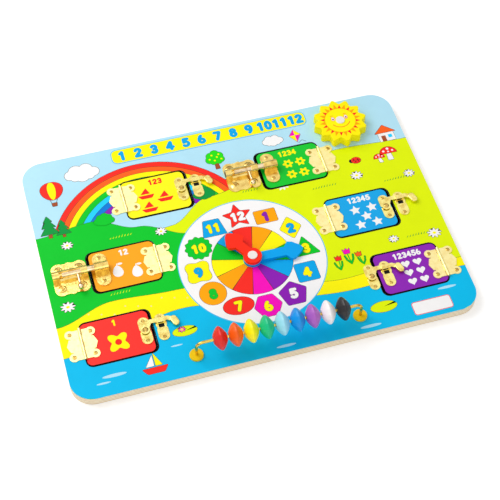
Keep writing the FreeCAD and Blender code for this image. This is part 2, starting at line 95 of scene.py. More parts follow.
# Levels of the print, counted in layers above the wood
ARCH_LEVEL = 2
SKY_LEVEL = 3
LIME_LEVEL = 4
MEADOW_LEVEL = 5
GREEN_LEVEL = 6
SAND_LEVEL = 8
WATER_LEVEL = 10
POND_LEVEL = 11
RIM_LEVEL = 12
BAND_LEVEL = 13
DIAL_LEVEL = 14
DOOR_LEVEL = 2


def srgb(red, green, blue):
    """Linear colour of an 8-bit display colour."""
    share = np.array([red, green, blue]) / 255.0
    linear = np.where(share <= 0.04045, share / 12.92, ((share + 0.055) / 1.055) ** 2.4)
    return tuple(float(v) for v in linear) + (1.0,)


PAINT = {
    "white": srgb(247, 245, 244), "black": srgb(16, 13, 12), "line": srgb(52, 46, 34),
    "red": srgb(250, 44, 34), "orange": srgb(255, 166, 0), "deep_orange": srgb(252, 98, 30),
    "yellow": srgb(255, 245, 0), "green": srgb(0, 198, 42), "leaf_green": srgb(40, 222, 16),
    "dark_green": srgb(0, 150, 62), "lime": srgb(225, 243, 0), "sky": srgb(178, 225, 243),
    "ripple": srgb(176, 226, 246), "blue": srgb(0, 166, 232), "deep_blue": srgb(0, 122, 214),
    "aqua": srgb(34, 206, 252), "water": srgb(0, 188, 236), "rim_blue": srgb(88, 190, 238),
    "violet": srgb(140, 28, 178), "magenta": srgb(248, 6, 186),
    "brown": srgb(164, 78, 42), "pink": srgb(246, 112, 170), "sand_dot": srgb(253, 222, 150),
}


# Shared effects

def new_group(name, inputs, outputs):
    """Return an empty node group with its ends."""
    group = bpy.data.node_groups.new(name, "ShaderNodeTree")
    for label, kind, value in inputs:
        socket = group.interface.new_socket(name=label, in_out="INPUT", socket_type=kind)
        socket.default_value = value
    for label, kind in outputs:
        group.interface.new_socket(name=label, in_out="OUTPUT", socket_type=kind)
    return group, group.nodes.new("NodeGroupInput"), group.nodes.new("NodeGroupOutput")


def add_node(tree, kind, inputs=(), **settings):
    """Return a node with its settings and its unlinked inputs, by number, set."""
    node = tree.nodes.new(kind)
    for key, value in settings.items():
        setattr(node, key, value)
    for index, value in dict(inputs).items():
        node.inputs[index].default_value = value
    return node


def noise(tree, scale, detail, place, stretch=None):
    """Return a noise on object coordinates, stretched if asked."""
    node = add_node(tree, "ShaderNodeTexNoise", {2: scale, 3: detail, 4: 0.6})
    if stretch:
        mapping = add_node(tree, "ShaderNodeMapping", {3: stretch})
        tree.links.new(place, mapping.inputs[0])
        place = mapping.outputs[0]
    tree.links.new(place, node.inputs["Vector"])
    return node.outputs[0]


def ramped(tree, value, low, high, out_low, out_high):
    """Return a value mapped from one range onto another and held there."""
    node = add_node(tree, "ShaderNodeMapRange", {1: low, 2: high, 3: out_low, 4: out_high})
    tree.links.new(value, node.inputs[0])
    return node.outputs[0]


def worked(tree, operation, *values):
    """Return the outcome of an operation on values; each is a socket or a number."""
    node = add_node(tree, "ShaderNodeMath", operation=operation)
    for socket, value in zip(node.inputs, values):
        if isinstance(value, float):
            socket.default_value = value
        else:
            tree.links.new(value, socket)
    return node.outputs[0]


def shaded(tree, color, value):
    """Return a colour made lighter or darker by a value about 1."""
    node = add_node(tree, "ShaderNodeHueSaturation")
    tree.links.new(value, node.inputs["Value"])
    tree.links.new(color, node.inputs["Color"])
    return node.outputs[0]


def mixed(tree, factor, first, second):
    """Return two colours mixed; each is a socket or a colour."""
    node = add_node(tree, "ShaderNodeMix", data_type="RGBA")
    for socket, value in ((node.inputs[0], factor), (node.inputs[6], first), (node.inputs[7], second)):
        if isinstance(value, tuple):
            socket.default_value = value
        else:
            tree.links.new(value, socket)
    return node.outputs[2]


def bumped(tree, height, strength, distance):
    """Return a normal pushed about by a height in metres."""
    node = add_node(tree, "ShaderNodeBump", {0: strength, 1: distance})
    tree.links.new(height, node.inputs["Height"])
    return node.outputs[0]


def paint_group():
    """Paint or print on sanded wood: cloudy tone, fine fibres along X and small dull spots."""
    group, given, result = new_group(
        "paint_on_wood",
        [("Color", "NodeSocketColor", (1, 1, 1, 1)), ("Rough", "NodeSocketFloat", 0.4)],
        [("Color", "NodeSocketColor"), ("Roughness", "NodeSocketFloat"), ("Normal", "NodeSocketVector")])
    place = add_node(group, "ShaderNodeTexCoord").outputs["Object"]
    fibre = noise(group, 1.0, 4.0, place, (90.0, 1100.0, 1100.0))
    cloud = noise(group, 42.0, 3.0, place)
    tone = ramped(group, cloud, 0.3, 0.7, 0.975, 1.02)
    link = group.links.new
    link(shaded(group, given.outputs["Color"], tone), result.inputs["Color"])
    uneven = ramped(group, fibre, 0.25, 0.75, -0.4, 0.4)
    link(worked(group, "MULTIPLY_ADD", uneven, 0.2, given.outputs["Rough"]), result.inputs["Roughness"])
    link(bumped(group, fibre, 0.1, 0.00012), result.inputs["Normal"])
    return group


def brass_group():
    """Brass plate: tarnish in soft patches, fine handling scuffs and a faintly wavy skin."""
    group, given, result = new_group(
        "brass_plate",
        [("Color", "NodeSocketColor", (1, 1, 1, 1)), ("Tarnish", "NodeSocketColor", (1, 1, 1, 1)),
         ("Rough", "NodeSocketFloat", 0.25), ("Waves", "NodeSocketFloat", 0.2)],
        [("Color", "NodeSocketColor"), ("Roughness", "NodeSocketFloat"), ("Normal", "NodeSocketVector")])
    place = add_node(group, "ShaderNodeTexCoord").outputs["Object"]
    patch = noise(group, 170.0, 3.0, place)
    scuff = noise(group, 1100.0, 2.0, place)
    link = group.links.new
    tint = mixed(group, ramped(group, patch, 0.42, 0.74, 0.0, 1.0),
                 given.outputs["Color"], given.outputs["Tarnish"])
    link(tint, result.inputs["Color"])
    uneven = ramped(group, scuff, 0.3, 0.7, -0.3, 0.5)
    link(worked(group, "MULTIPLY_ADD", uneven, 0.25, given.outputs["Rough"]), result.inputs["Roughness"])
    wave = add_node(group, "ShaderNodeBump", {1: 0.0005})
    link(given.outputs["Waves"], wave.inputs[0])
    link(patch, wave.inputs["Height"])
    link(wave.outputs[0], result.inputs["Normal"])
    return group


def plywood_group():
    """Birch plywood: cut edges show plies by height with end-grain fibres, level faces show veneer."""
    group, given, result = new_group(
        "birch_plywood",
        [("Ply", "NodeSocketFloat", PLY)],
        [("Edge", "NodeSocketColor"), ("Veneer", "NodeSocketColor"), ("Height", "NodeSocketFloat")])
    place = add_node(group, "ShaderNodeTexCoord").outputs["Object"]
    parts = add_node(group, "ShaderNodeSeparateXYZ")
    link = group.links.new
    link(place, parts.inputs[0])
    height = worked(group, "MULTIPLY", parts.outputs["Z"], 1 / MM)
    count = worked(group, "DIVIDE", height, given.outputs["Ply"])
    layer = ramped(group, worked(group, "PINGPONG", count, 1.0), 0.4, 0.6, 0.0, 1.0)
    fibre = noise(group, 1.0, 4.0, place, (420.0, 420.0, 2600.0))
    plies = mixed(group, layer, srgb(255, 244, 220), srgb(226, 200, 160))
    link(shaded(group, plies, ramped(group, fibre, 0.3, 0.75, 1.08, 0.84)), result.inputs["Edge"])
    figure = noise(group, 1.0, 5.0, place, (9.0, 130.0, 60.0))
    pores = noise(group, 1.0, 2.0, place, (120.0, 1600.0, 900.0))
    flame = mixed(group, ramped(group, figure, 0.36, 0.66, 0.0, 1.0),
                  srgb(240, 222, 190), srgb(220, 192, 150))
    link(shaded(group, flame, ramped(group, pores, 0.4, 0.8, 1.02, 0.86)), result.inputs["Veneer"])
    link(fibre, result.inputs["Height"])
    return group


PAINT_ON_WOOD = paint_group()
BRASS_PLATE = brass_group()
BIRCH_PLYWOOD = plywood_group()


# Materials

def new_material(name):
    """Return a material with its tree and its Principled shader."""
    material = bpy.data.materials.new(name)
    material.use_nodes = True
    return material, material.node_tree, material.node_tree.nodes["Principled BSDF"]


def placed(tree, group, **values):
    """Return a group placed in a tree with its named inputs set."""
    node = add_node(tree, "ShaderNodeGroup", node_tree=group)
    for label, value in values.items():
        node.inputs[label].default_value = value
    return node


def wire_up(tree, node, shader):
    """Link a group's colour, roughness and normal to the shader."""
    tree.links.new(node.outputs["Color"], shader.inputs["Base Color"])
    tree.links.new(node.outputs["Roughness"], shader.inputs["Roughness"])
    tree.links.new(node.outputs["Normal"], shader.inputs["Normal"])


PRINT_ROUGH = 0.44


def painted(name, color, rough=PRINT_ROUGH, gloss=0.12):
    """Return satin paint or varnished print."""
    material, tree, shader = new_material(name)
    wire_up(tree, placed(tree, PAINT_ON_WOOD, Color=color, Rough=rough), shader)
    shader.inputs["Specular IOR Level"].default_value = gloss
    return material


def brass(name, color, tarnish, rough, waves):
    """Return brass-plated steel, new but handled."""
    material, tree, shader = new_material(name)
    wire_up(tree, placed(tree, BRASS_PLATE, Color=color, Tarnish=tarnish, Rough=rough, Waves=waves), shader)
    shader.inputs["Metallic"].default_value = 1.0
    return material


# Where the board's border starts, as shares of its half width and depth and of its half diagonal
BORDER = (0.985, 0.975)
BORDER_CORNER = (1.31, 1.30)
CHAR = srgb(30, 20, 12)
EDGE_ROUGH = 0.68


def cut_board(name, face_color, inner_edges):
    """Return plywood with its printed upper face, veneer below and plies on its edges.

    Edges inside the board's border were cut by laser and are charred where inner_edges says so."""
    material, tree, shader = new_material(name)
    link = tree.links.new
    wood = placed(tree, BIRCH_PLYWOOD, Ply=PLY)
    print_film = placed(tree, PAINT_ON_WOOD, Color=face_color, Rough=PRINT_ROUGH)
    place = add_node(tree, "ShaderNodeTexCoord")
    facing = add_node(tree, "ShaderNodeSeparateXYZ")
    link(place.outputs["Normal"], facing.inputs[0])
    up = ramped(tree, facing.outputs["Z"], 0.4, 0.6, 0.0, 1.0)
    down = ramped(tree, facing.outputs["Z"], -0.4, -0.6, 0.0, 1.0)
    edge = wood.outputs["Edge"]
    if inner_edges:
        per_half = tuple(1 / (half * MM) for half in BOARD_HALF) + (0.0,)
        spot = add_node(tree, "ShaderNodeVectorMath", {1: per_half}, operation="MULTIPLY")
        link(place.outputs["Object"], spot.inputs[0])
        size = add_node(tree, "ShaderNodeVectorMath", operation="ABSOLUTE")
        link(spot.outputs[0], size.inputs[0])
        parts = add_node(tree, "ShaderNodeSeparateXYZ")
        link(size.outputs[0], parts.inputs[0])
        across = ramped(tree, parts.outputs["X"], *BORDER, 0.0, 1.0)
        along = ramped(tree, parts.outputs["Y"], *BORDER, 0.0, 1.0)
        reach = add_node(tree, "ShaderNodeVectorMath", operation="LENGTH")
        link(size.outputs[0], reach.inputs[0])
        corner = ramped(tree, reach.outputs["Value"], *BORDER_CORNER, 0.0, 1.0)
        charred = worked(tree, "MULTIPLY", worked(tree, "MULTIPLY", across, along), corner)
        edge = mixed(tree, charred, edge, CHAR)
    surface = mixed(tree, down, mixed(tree, up, edge, print_film.outputs["Color"]), wood.outputs["Veneer"])
    link(surface, shader.inputs["Base Color"])
    link(ramped(tree, facing.outputs["Z"], 0.4, 0.6, EDGE_ROUGH, PRINT_ROUGH), shader.inputs["Roughness"])
    link(bumped(tree, wood.outputs["Height"], 0.25, 0.0003), shader.inputs["Normal"])
    shader.inputs["Specular IOR Level"].default_value = 0.25
    return material


def bare_wood(name, light, dark):
    """Return sanded pale wood with streaks along X."""
    material, tree, shader = new_material(name)
    place = add_node(tree, "ShaderNodeTexCoord").outputs["Object"]
    streak = noise(tree, 1.0, 5.0, place, (260.0, 1500.0, 400.0))
    tree.links.new(mixed(tree, streak, light, dark), shader.inputs["Base Color"])
    tree.links.new(bumped(tree, streak, 0.2, 0.0002), shader.inputs["Normal"])
    tree.links.new(ramped(tree, streak, 0.3, 0.7, 0.5, 0.68), shader.inputs["Roughness"])
    return material


INKS = {name: painted("print_" + name, color) for name, color in PAINT.items()}
LEAF_BRASS = brass("leaf_brass", srgb(255, 240, 172), srgb(246, 222, 146), 0.42, 0.08)
HOOK_BRASS = brass("hook_brass", srgb(255, 240, 150), srgb(222, 184, 84), 0.16, 0.35)
BOLT_BRASS = brass("bolt_brass", srgb(252, 222, 132), srgb(214, 170, 84), 0.15, 0.25)
ROD_BRASS = brass("rod_brass", srgb(250, 226, 184), srgb(214, 176, 122), 0.12, 0.12)
SCREW_BRASS = brass("screw_brass", srgb(222, 188, 104), srgb(168, 122, 48), 0.2, 0.2)
WIRE_BRASS = brass("wire_brass", srgb(238, 208, 104), srgb(206, 164, 56), 0.18, 0.1)
PIN_BRASS = brass("pin_brass", srgb(226, 204, 140), srgb(188, 160, 90), 0.3, 0.1)


def dress(material, *names):
    """Give nodes of the frame their material."""
    for name in names:
        slots = NODES[name].data.materials
        slots.clear()
        slots.append(material)


def parts_of(doors, *endings):
    """Return the node names that these doors have."""
    return [door + ending for door in doors for ending in endings]


dress(cut_board("back_birch", srgb(238, 218, 184), False), "back_panel")
dress(cut_board("front_birch", PAINT["sky"], True), "front_panel")
dress(PIN_BRASS, "hinge_pins")
dress(LEAF_BRASS, "hinge_leaves", *parts_of(DOORS, "_door_leaf"))
dress(HOOK_BRASS, "board_catches", "violet_catch", *parts_of(HOOKED, "_hook_plate", "_hook_arm"))
dress(SCREW_BRASS, "board_fixings", *parts_of(DOORS, "_door_fixings"))
dress(BOLT_BRASS, *parts_of(BOLTED, "_bolt_housing", "_keeper"))
dress(ROD_BRASS, *parts_of(BOLTED, "_bolt_rod", "_bolt_grip"))
dress(WIRE_BRASS, "bead_wire")
dress(painted("foot_paint", srgb(236, 196, 10), 0.5), "wire_feet")
dress(painted("sun_paint", srgb(255, 240, 0), 0.46), "sun")
dress(painted("minute_paint", srgb(0, 162, 236)), "clock_minute_hand")
dress(painted("hour_paint", srgb(252, 46, 24)), "clock_hour_hand")
dress(bare_wood("pale_dowel", srgb(244, 240, 236), srgb(226, 218, 208)),
      "clock_post", "clock_cap", "sun_post", "sun_cap")
for door in DOORS:
    dress(cut_board(door + "_door_birch", PAINT[door], True), door + "_door")


# Outlines, as rows of x and y

def swept(x, y, reach, angle, squash=1.0):
    """Return the points x + r cos a, y + q r sin a."""
    return np.stack([x + reach * np.cos(angle), y + squash * reach * np.sin(angle)], 1)


def circle(x, y, radius, squash=1.0, count=48):
    """Return a circle, or an ellipse if it is squashed."""
    return swept(x, y, radius, np.linspace(0, 2 * math.pi, count, endpoint=False), squash)


def block(x, y, width, depth, radius, count=8):
    """Return a rectangle whose corners are quarter circles."""
    angle = np.radians(np.linspace(0, 90, count))
    quarter = np.stack([np.cos(angle), np.sin(angle)], 1) * radius
    out = []
    for turn, (sx, sy) in enumerate(((1, 1), (-1, 1), (-1, -1), (1, -1))):
        cos, sin = math.cos(turn * math.pi / 2), math.sin(turn * math.pi / 2)
        corner = quarter @ np.array([[cos, sin], [-sin, cos]])
        out.append(corner + (x + sx * (width / 2 - radius), y + sy * (depth / 2 - radius)))
    return np.concatenate(out)


def softened(points, radius, count=5):
    """Return a polygon whose corners are parabolas that start a radius before each corner."""
    points = np.asarray(points, dtype=float)
    share = np.linspace(0, 1, count)[:, None]
    out = []
    for i, corner in enumerate(points):
        before, after = points[i - 1] - corner, points[(i + 1) % len(points)] - corner
        reach = min(radius, np.linalg.norm(before) / 2, np.linalg.norm(after) / 2)
        start = corner + before / np.linalg.norm(before) * reach
        end = corner + after / np.linalg.norm(after) * reach
        out.append((1 - share) ** 2 * start + 2 * share * (1 - share) * corner + share ** 2 * end)
    return np.concatenate(out)


def polygon(x, y, radius, sides, turn=90.0):
    """Return a regular polygon."""
    return swept(x, y, radius, np.radians(turn + np.arange(sides) * 360.0 / sides))


def star(x, y, outer, inner, points=5):
    """Return corners that step between two radii."""
    angle = np.radians(90 + np.arange(2 * points) * 180.0 / points)
    radius = np.where(np.arange(2 * points) % 2 == 0, outer, inner)
    return swept(x, y, radius, angle)


def waved(x, y, radius, depth, waves, turn=0.0, squash=1.0, count=96):
    """Return the closed curve of radius r + d cos(n (a - turn)): petals, scallops and clover leaves."""
    angle = np.linspace(0, 2 * math.pi, count, endpoint=False)
    reach = radius + depth * np.cos(waves * (angle - math.radians(turn)))
    return swept(x, y, reach, angle, squash)


def heart(x, y, width, count=40):
    """Return the heart 16 sin^3 t across and 13 cos t - 5 cos 2t - 2 cos 3t - cos 4t up."""
    t = np.linspace(0, 2 * math.pi, count, endpoint=False)
    up = 13 * np.cos(t) - 5 * np.cos(2 * t) - 2 * np.cos(3 * t) - np.cos(4 * t)
    return np.stack([x + width * 16 * np.sin(t) ** 3 / 32, y + width * (up + 2) / 32], 1)


def sector(x, y, radius, start, end, count=16, squash=1.0):
    """Return a slice of a disc between two angles in degrees."""
    return np.concatenate([[(x, y)], arc_line(x, y, radius, start, end, count, squash)])


def bow(x, y, outer, inner, start, end, count=64):
    """Return a strip between two radii."""
    angle = np.radians(np.linspace(start, end, count))
    ray = np.stack([np.cos(angle), np.sin(angle)], 1)
    return np.concatenate([ray * outer, ray[::-1] * inner]) + (x, y)


def arc_line(x, y, radius, start, end, count=14, squash=1.0):
    """Return points on an arc, for a stroke."""
    return swept(x, y, radius, np.radians(np.linspace(start, end, count)), squash)


def stroke(points, width, count=7):
    """Return a line of even width with round ends: its points moved half a width along their normals."""
    points = np.asarray(points, dtype=float)
    along = np.gradient(points, axis=0)
    along /= np.linalg.norm(along, axis=1)[:, None]
    side = np.stack([-along[:, 1], along[:, 0]], 1) * width / 2
    half_turn = np.linspace(0, math.pi, count)[1:-1, None]
    end = points[-1] + side[-1] * np.cos(half_turn) + along[-1] * np.sin(half_turn) * width / 2
    start = points[0] - side[0] * np.cos(half_turn) - along[0] * np.sin(half_turn) * width / 2
    return np.concatenate([points + side, end, (points - side)[::-1], start])


def joined_discs(discs, count=120):
    """Return the outline of overlapping discs round the origin.

    A ray u leaves the disc with middle d and radius r at d.u + sqrt(r^2 - |d|^2 + (d.u)^2), and the
    outline takes the farthest of these."""
    angle = np.linspace(0, 2 * math.pi, count, endpoint=False)
    ray = np.stack([np.cos(angle), np.sin(angle)], 1)
    middle = np.array([disc[:2] for disc in discs], dtype=float)
    radius = np.array([disc[2] for disc in discs])
    ahead = ray @ middle.T
    inside = radius ** 2 - np.sum(middle ** 2, 1) + ahead ** 2
    leave = np.where(inside > 0, ahead + np.sqrt(np.maximum(inside, 0)), 0)
    return ray * leave.max(1)[:, None]


def turning(outline):
    """Return 1 for an outline that runs anticlockwise and -1 for the other way."""
    ahead = np.roll(outline, -1, 0)
    return 1.0 if np.sum(outline[:, 0] * ahead[:, 1] - outline[:, 1] * ahead[:, 0]) > 0 else -1.0


def grown(outline, margin):
    """Return an outline moved outwards along the mean normals of its sides."""
    outline = np.asarray(outline, dtype=float)
    ahead = np.roll(outline, -1, 0) - outline
    ahead /= np.maximum(np.linalg.norm(ahead, axis=1), 1e-9)[:, None]
    way = ahead + np.roll(ahead, 1, 0)
    way /= np.maximum(np.linalg.norm(way, axis=1), 1e-9)[:, None]
    return outline + np.stack([way[:, 1], -way[:, 0]], 1) * turning(outline) * margin


def hill_line(points, count=70):
    """Return a rolling line: between chosen points the height follows half a cosine wave."""
    points = np.asarray(points, dtype=float)
    x = np.linspace(points[0, 0], points[-1, 0], count)
    i = np.clip(np.searchsorted(points[:, 0], x, side="right") - 1, 0, len(points) - 2)
    share = (x - points[i, 0]) / (points[i + 1, 0] - points[i, 0])
    y = points[i, 1] + (points[i + 1, 1] - points[i, 1]) * (0.5 - 0.5 * np.cos(math.pi * share))
    return np.stack([x, y], 1)


def within_board(outline):
    """Return an outline whose points are drawn in to the board's border and its round corners."""
    half = BOARD_HALF - TRIM
    straight = half - BOARD_CORNER
    out = np.clip(outline, -half, half)
    past = np.abs(out) - straight
    reach = np.hypot(past[:, 0], past[:, 1])
    pull = BOARD_CORNER / np.maximum(reach, BOARD_CORNER)
    outside = (past > 0).all(1)[:, None]
    return np.where(outside, np.sign(out) * (straight + past * pull[:, None]), out)


# Numerals: round-ended strokes in a box one high

def numeral_strokes(digit):
    """Return the centre lines of a digit's strokes, its middle at the origin."""
    top, side, mid = 0.37, 0.2, 0.18
    lines = {
        "0": [arc_line(0, 0, side, start, start + 190, squash=top / side) for start in (85, -95)],
        "1": [[(-0.13, 0.24), (0.04, top)], [(0.04, top), (0.04, -top)]],
        "2": [np.concatenate([arc_line(0, mid, 0.19, 165, -35), [(-0.2, -top)]]),
              [(-0.2, -top), (0.22, -top)]],
        "3": [arc_line(0, mid, 0.19, 150, -90), arc_line(0, -mid, 0.19, 90, -150)],
        "4": [[(0.08, top), (-0.24, -0.14)], [(-0.24, -0.14), (0.25, -0.14)],
              [(0.1, top), (0.1, -top)]],
        "5": [[(0.19, top), (-0.14, top)], [(-0.14, top), (-0.16, 0.04)],
              arc_line(-0.02, -0.14, 0.23, 125, -140)],
        "6": [arc_line(0.18, -0.15, 0.4, 118, 180, squash=1.45), arc_line(0, -0.17, side, -5, 185),
              arc_line(0, -0.17, side, 175, 365)],
        "7": [[(-0.2, top), (0.22, top)], [(0.22, top), (-0.06, -top)]],
        "8": [arc_line(0, 0.19, 0.165, -5, 185), arc_line(0, 0.19, 0.165, 175, 365),
              arc_line(0, -mid, side, -5, 185), arc_line(0, -mid, side, 175, 365)],
    }
    if digit == "9":
        return [-np.asarray(line) for line in numeral_strokes("6")]
    return [np.asarray(line, dtype=float) for line in lines[digit]]


def numeral_outlines(text, x, y, height, weight):
    """Return the stroke outlines of a number about its middle."""
    pitch = 0.68 * height
    start = x - pitch * (len(text) - 1) / 2
    return [stroke(line * height + (start + i * pitch, y), weight * height)
            for i, digit in enumerate(text) for line in numeral_strokes(digit)]


# Printed layers

PRINTS = {}


def prism(outline, low, high):
    """Return the points and faces of a closed plate with this outline."""
    outline = np.asarray(outline, dtype=float)
    if turning(outline) < 0:
        outline = outline[::-1]
    n = len(outline)
    points = np.concatenate([np.column_stack([outline, np.full(n, z)]) for z in (low, high)])
    ring = np.arange(n)
    after = np.roll(ring, -1)
    walls = np.stack([ring, after, after + n, ring + n], 1).tolist()
    return points, [ring[::-1].tolist(), (ring + n).tolist()] + walls


def ink(body, color, outline, level, base=FACE, line=0.0):
    """Print a shape on a body at a level above its base, over a dark rim if a line is asked for."""
    if line:
        ink(body, "line", grown(outline, line), level - 1, base)
    PRINTS.setdefault((body, color), []).append(prism(outline, base - ROOT, base + INK * level))


def number(body, color, text, x, y, height, level, base=FACE, weight=0.25, line=0.0):
    """Print a number; its strokes lie a hair above each other so that none share a plane."""
    for i, outline in enumerate(numeral_outlines(text, x, y, height, weight)):
        if line:
            ink(body, "line", grown(outline, line), level - 1 + 0.1 * i, base)
        ink(body, color, outline, level + 0.1 * i, base)


def motif(x, y, level, shapes, size=1.0):
    """Print shapes about a place; odd steps have a dark rim under them and even ones have none."""
    for color, outline, step in shapes:
        outline = np.asarray(outline, dtype=float) * size + (x, y)
        ink("board", color, outline, level + step, line=LINE if step % 2 else 0.0)


def field(color, line, level):
    """Print a field from a rolling line down to the board's lower border."""
    top = hill_line(line)
    sides = np.linspace(0, 1, 40)[:, None]
    low_left, low_right = np.array([top[0, 0], -BOARD_HALF[1]]), np.array([top[-1, 0], -BOARD_HALF[1]])
    outline = np.concatenate([
        top[0] + (low_left - top[0]) * sides, low_left + (low_right - low_left) * sides,
        low_right + (top[-1] - low_right) * sides, top[::-1]])
    ink("board", "line", within_board(outline + (0, LINE)), level - 1)
    ink("board", color, within_board(outline), level)


# The picture: sky, hills, sand and water

EDGE = BOARD_HALF[0]
field("lime", [(-112, 18), (-70, 30), (-24, 56), (60, 74), (132, 82), (EDGE, 78)], LIME_LEVEL)
field("green", [(-EDGE, 50), (-150, 57), (-104, 38), (-52, 16), (0, -20)], GREEN_LEVEL)
field("yellow", [(-EDGE, -62), (-150, -45), (-84, -49), (10, -70), (86, -82), (140, -78), (EDGE, -88)],
      SAND_LEVEL)
field("water", [(-EDGE, -98), (-150, -82), (-84, -72), (10, -90), (90, -97), (160, -94), (EDGE, -99)],
      WATER_LEVEL)

ARCH = (-88.0, 10.0)
ARCH_OUTER = 110.0
ARCH_BAND = 6.4
ARCH_COLORS = ("red", "deep_orange", "yellow", "green", "aqua", "deep_blue", "violet")
ARCH_SPAN = (14, 166)
for i in range(len(ARCH_COLORS) + 1):
    outer = ARCH_OUTER - i * ARCH_BAND
    ink("board", "line", bow(*ARCH, outer + LINE / 2, outer - LINE / 2, *ARCH_SPAN), ARCH_LEVEL + 0.5)
    if i < len(ARCH_COLORS):
        ink("board", ARCH_COLORS[i], bow(*ARCH, outer, outer - ARCH_BAND, *ARCH_SPAN), ARCH_LEVEL)

CLOUD = joined_discs([(-13, 0, 6), (-6, 4, 8), (5, 5, 7.5), (13, 0, 6), (0, -3, 8), (-8, -4, 5), (8, -4, 5)])
BUSH = joined_discs([(-9, -1, 5), (-5, 4, 5), (1, 6, 5), (6, 3, 5), (9, -2, 4.5), (0, -1, 8), (-5, -4, 4),
                     (5, -4, 4)])
CROWN = joined_discs([(-7, 0, 5.5), (-5, 6, 5.5), (1, 9, 5.5), (6, 5, 5.5), (7, -1, 5), (0, 1, 8),
                      (-3, -4, 4), (4, -4, 4)])
TRUNK = [(-2, -4), (-3, -16), (3, -16), (2, -4)]
PETALS = waved(0, 0, 5.6, 1.5, 9, squash=0.8)


def fir_tree():
    """Return three tiers of branches and a trunk."""
    tiers = [(0, 15), (5, 7), (2.5, 7.4), (8, -1), (4, -0.4), (10.5, -10), (-10.5, -10), (-4, -0.4),
             (-8, -1), (-2.5, 7.4), (-5, 7)]
    return [("brown", [(-2, -9), (-2, -15), (2, -15), (2, -9)], 1), ("dark_green", softened(tiers, 0.8), 3)]


def fruit_tree():
    """Return a round crown with a trunk and some fruit."""
    fruit = [(-7, 1), (-3, 7), (3, 3), (6, 7), (-1, -2), (8, -1)]
    return ([("brown", TRUNK, 1), ("leaf_green", CROWN, 3)]
            + [("yellow", circle(x, y, 1.3, count=14), 4) for x, y in fruit])


def balloon():
    """Return a hot-air balloon: striped envelope, ropes and basket."""
    t = np.linspace(0, 2 * math.pi, 64, endpoint=False)
    envelope = np.stack([12 * np.sin(t) * (1 + 0.16 * np.cos(t)), 12 * np.cos(t) + 2], 1)
    stripe = envelope * (0.36, 0.985) + (0, 0.03)
    ropes = [("line", stroke([(s * 4.4, -8.0), (s * 2.4, -14)], 0.5), 2) for s in (-1, 1)]
    return ropes + [("brown", softened([(-3, -14), (3, -14), (2.4, -18.5), (-2.4, -18.5)], 0.6), 3),
                    ("red", envelope, 5), ("yellow", stripe, 6)]


def house():
    """Return a small house with a roof, a door and a window."""
    return [("white", [(-9, -11), (9, -11), (9, 2), (-9, 2)], 1),
            ("deep_orange", softened([(-12, 1), (12, 1), (0, 12)], 0.8), 3),
            ("brown", [(-6, -11), (-1, -11), (-1, -3), (-6, -3)], 2),
            ("aqua", [(2, -7), (6.5, -7), (6.5, -2.5), (2, -2.5)], 2)]


def sail_boat():
    """Return a boat with two sails."""
    hull = softened([(-13, -3), (13, -3), (8.5, -9.5), (-8.5, -9.5)], 1.5)
    return [("red", hull, 1), ("white", softened([(-0.6, -1.4), (-9, -1.4), (-0.6, 11)], 0.6), 1),
            ("yellow", softened([(0.8, -1.4), (7.5, -1.4), (0.8, 13)], 0.6), 1)]


def toadstool(lean=0.0):
    """Return a spotted cap on a stalk."""
    spots = [(-4.2, 3.2, 1.2), (0.4, 5.6, 1.4), (4.6, 2.8, 1.1), (0.2, 2.0, 0.9)]
    return ([("white", softened([(-2, 1), (2, 1), (2.8 + lean, -8), (-2.8 + lean, -8)], 1.0), 1),
             ("red", sector(0, 0, 8.4, 0, 180, 24, 0.95)[1:], 3)]
            + [("white", circle(x, y, r, count=14), 4) for x, y, r in spots])


def tulip(color, lean):
    """Return a cup-shaped flower on a stem with two leaves."""
    cup = [(-3.4, 0), (3.4, 0), (4.2, 7), (1.8, 4.2), (0, 7.6), (-1.8, 4.2), (-4.2, 7)]
    stem = stroke([(lean, -15), (lean * 0.4, -8), (0, 0)], 1.3)
    leaves = [stroke([(lean, -14), (lean + s * 3.4, -9), (lean + s * 4.6, -3.5)], 1.7) for s in (-1, 1)]
    return [("green", stem, 2), ("green", leaves[0], 2.3), ("green", leaves[1], 2.6),
            (color, softened(cup, 1.0) + (0, -1), 5)]


def kite():
    """Return a kite in two colours with a tail."""
    tail = np.stack([np.linspace(0, 12, 20), -10 - 1.6 * np.sin(np.linspace(0, 8, 20))], 1)
    return [("line", stroke(tail, 0.5), 2), ("magenta", [(0, 12), (8, 2), (0, -10), (-8, 2)], 3),
            ("yellow", [(0, 12), (8, 2), (0, 2)], 4), ("yellow", [(0, 2), (0, -10), (-8, 2)], 4)]


def leaf_pad(flower):
    """Return a round floating leaf with a notch, and a flower if there is one."""
    pad = sector(0, 0, 14, 32, 372, 40, 0.45)
    shapes = [("lime", softened(pad, 0.8, 3), 1)]
    if flower:
        shapes += [("pink", waved(-3, 2.6, 3.6, 1.0, 7, squash=0.8), 3),
                   ("yellow", circle(-3, 2.6, 1.2, count=16), 4)]
    return shapes


def ladybird():
    """Return a spotted beetle seen from above."""
    spots = [(-3, 1.6), (3, 1.4), (-1.2, -2.6), (3.4, -2.0)]
    return ([("black", circle(-7, 0, 3.0, count=24), 1), ("red", circle(0, 0, 7.2, 0.78), 3),
             ("line", stroke([(-5.6, 0), (7.0, 0)], 0.6), 4)]
            + [("black", circle(x, y, 1.0, count=14), 4) for x, y in spots])


def grass(count, color):
    """Return short blades that lean the same way."""
    return [(color, [(3.1 * k, 0), (3.1 * k + 1.1, 0), (3.1 * k + 2.4, 3.2 - 0.25 * abs(k - count / 2))], 2)
            for k in range(count)]


